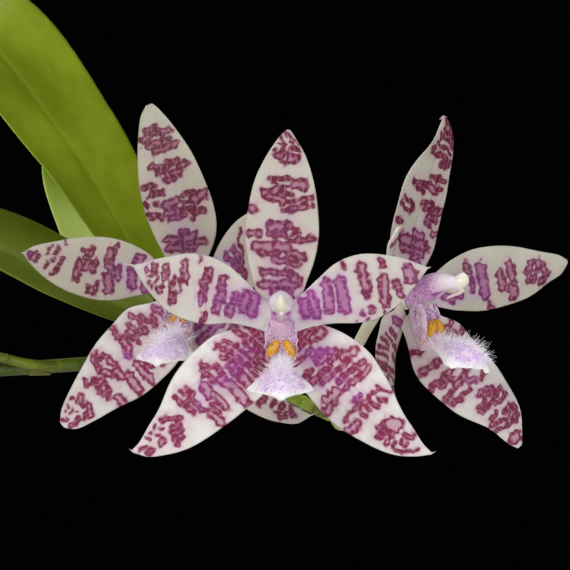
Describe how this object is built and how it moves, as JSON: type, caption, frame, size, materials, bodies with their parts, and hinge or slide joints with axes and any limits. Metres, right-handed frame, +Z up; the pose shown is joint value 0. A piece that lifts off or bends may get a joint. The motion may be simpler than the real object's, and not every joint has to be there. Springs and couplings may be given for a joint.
{
  "type": "potted phalaenopsis hieroglyphica",
  "caption": "Potted moth orchid with arching leaves and a horizontal flower stem; cream, waxy star-shaped flowers carry rows of crimson-violet blotches and a hairy lilac lip.",
  "frame": {"origin": "centre of the pot's flat underside", "axes": "+Z up; +X from the pot towards the flowers; the flowers look along -Y"},
  "size_m": [0.3482, 0.1806, 0.2217],
  "materials": {
    "clay": "matte unglazed terracotta",
    "bark": "rough bark chips",
    "stem_green": "smooth green stem",
    "leaf": "satin fleshy leaf",
    "root": "dry silvery root skin",
    "pedicel": "smooth pale flower stalk",
    "bract": "thin dry scale",
    "bud": "smooth closed bud",
    "tepal": "waxy petal with crimson-violet blotches",
    "column": "waxy mauve",
    "anther_cap": "waxy cream",
    "lip": "waxy lilac with fine hairs"
  },
  "bodies": {
    "root": {"pot": "clay", "bark_medium": "bark", "stem": "stem_green", "leaf_1": "leaf", "leaf_2": "leaf", "leaf_3": "leaf", "leaf_4": "leaf", "leaf_5": "leaf", "leaf_6": "leaf", "leaf_7": "leaf", "root_1": "root", "root_2": "root", "root_3": "root", "root_4": "root", "peduncle": "stem_green", "side_branch": "stem_green", "pedicel_a": "pedicel", "pedicel_b": "pedicel", "pedicel_c": "pedicel", "bract_1": "bract", "bract_2": "bract", "bract_3": "bract", "bud_1": "bud", "bud_2": "bud", "bud_3": "bud", "bud_4": "bud", "flower_a_sepal_dorsal": "tepal", "flower_a_petal_left": "tepal", "flower_a_petal_right": "tepal", "flower_a_sepal_left": "tepal", "flower_a_sepal_right": "tepal", "flower_a_column": "column", "flower_a_anther_cap": "anther_cap", "flower_a_lip": "lip", "flower_b_sepal_dorsal": "tepal", "flower_b_petal_left": "tepal", "flower_b_petal_right": "tepal", "flower_b_sepal_left": "tepal", "flower_b_sepal_right": "tepal", "flower_b_column": "column", "flower_b_anther_cap": "anther_cap", "flower_b_lip": "lip", "flower_c_sepal_dorsal": "tepal", "flower_c_petal_left": "tepal", "flower_c_petal_right": "tepal", "flower_c_sepal_left": "tepal", "flower_c_sepal_right": "tepal", "flower_c_column": "column", "flower_c_anther_cap": "anther_cap", "flower_c_lip": "lip"}
  },
  "joints": []
}
